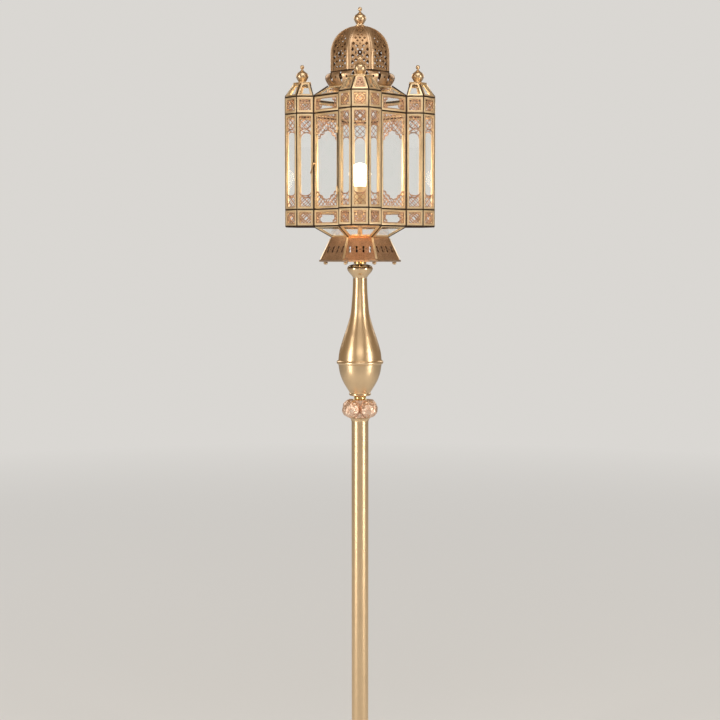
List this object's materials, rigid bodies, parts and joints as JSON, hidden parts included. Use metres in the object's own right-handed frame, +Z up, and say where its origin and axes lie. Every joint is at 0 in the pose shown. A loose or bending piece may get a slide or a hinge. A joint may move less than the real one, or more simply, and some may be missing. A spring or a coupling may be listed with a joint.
{
  "type": "floor lamp",
  "caption": "Floor lamp with a turreted, domed glass and metal lantern on a turned vase-shaped neck, a slim pole and a round weighted base.",
  "frame": {"origin": "centre of the underside of the base, on the floor", "axes": "+Z up along the pole, -Y to the front, towards the viewer of the picture; a corner turret faces the front"},
  "size_m": [0.3064, 0.3064, 1.65],
  "materials": {
    "brass": "satin",
    "pale_brass": "satin",
    "gilt": "polished",
    "rose_copper": "satin",
    "carved_brass": "satin",
    "dark_seam": "patinated",
    "glass": "clear",
    "steel": "satin",
    "iron": "rough",
    "felt": "matt",
    "black_plastic": "matt",
    "bulb_glass": "opal",
    "bulb_metal": "satin"
  },
  "bodies": {
    "lamp": {"base_felt": "felt", "base_weight": "iron", "base_cover": "brass", "base_nut": "steel", "cord_bush": "black_plastic", "pole_foot": "brass", "pole_tube": "brass", "pole_cup": "brass", "carved_ring": "carved_brass", "neck_spacer": "gilt", "vase_lower": "pale_brass", "vase_band": "pale_brass", "vase_upper": "pale_brass", "vase_collar": "pale_brass", "lantern_sleeve": "brass", "tie_tube": "steel", "inner_lead": "black_plastic", "seat_bridge": "brass", "seat_nuts": "steel", "skirt_panels": "rose_copper", "skirt_arrises": "pale_brass", "skirt_rim": "rose_copper", "ball_feet": "brass", "lower_frames": "pale_brass", "lower_panes": "glass", "turret_floors": "brass", "front_turret_frames": "pale_brass", "right_turret_frames": "pale_brass", "back_turret_frames": "pale_brass", "left_turret_frames": "pale_brass", "turret_fretwork": "rose_copper", "panel_frames": "pale_brass", "panel_fretwork": "rose_copper", "window_panes": "glass", "corner_posts": "dark_seam", "seam_bands": "dark_seam", "hinge_brackets": "pale_brass", "hinge_pins": "brass", "latch_stud": "brass", "turret_roof_frames": "pale_brass", "turret_roof_panes": "glass", "turret_roof_fretwork": "rose_copper", "turret_caps": "brass", "turret_finials": "brass", "roof_frames": "pale_brass", "roof_panes": "glass", "gallery": "brass", "dome_ring": "dark_seam", "dome_gores": "rose_copper", "dome_ribs": "pale_brass", "dome_finial": "brass", "holder_cap": "brass", "holder_shell": "brass"},
    "door": {"door_frame": "pale_brass", "door_fretwork": "rose_copper", "door_glass": "glass", "latch_pivot": "brass"},
    "latch": {"latch_hook": "brass"},
    "bulb": {"bulb_cap": "bulb_metal", "bulb_globe": "bulb_glass"}
  },
  "joints": [
    {"name": "door_hinge", "type": "hinge", "parent": "lamp", "child": "door", "pos_m": [-0.04566, -0.09491, 1.3354], "axis": [0, 0, 1], "range_deg": [0, 115]},
    {"name": "latch_pivot_turn", "type": "hinge", "parent": "door", "child": "latch", "pos_m": [-0.09391, -0.04892, 1.331], "axis": [-0.7071, -0.7071, 0], "range_deg": [0, 90]},
    {"name": "bulb_turn", "type": "hinge", "parent": "lamp", "child": "bulb", "pos_m": [0, 0, 1.3126], "axis": [0, 0, 1], "range_deg": [0, 360]}
  ]
}
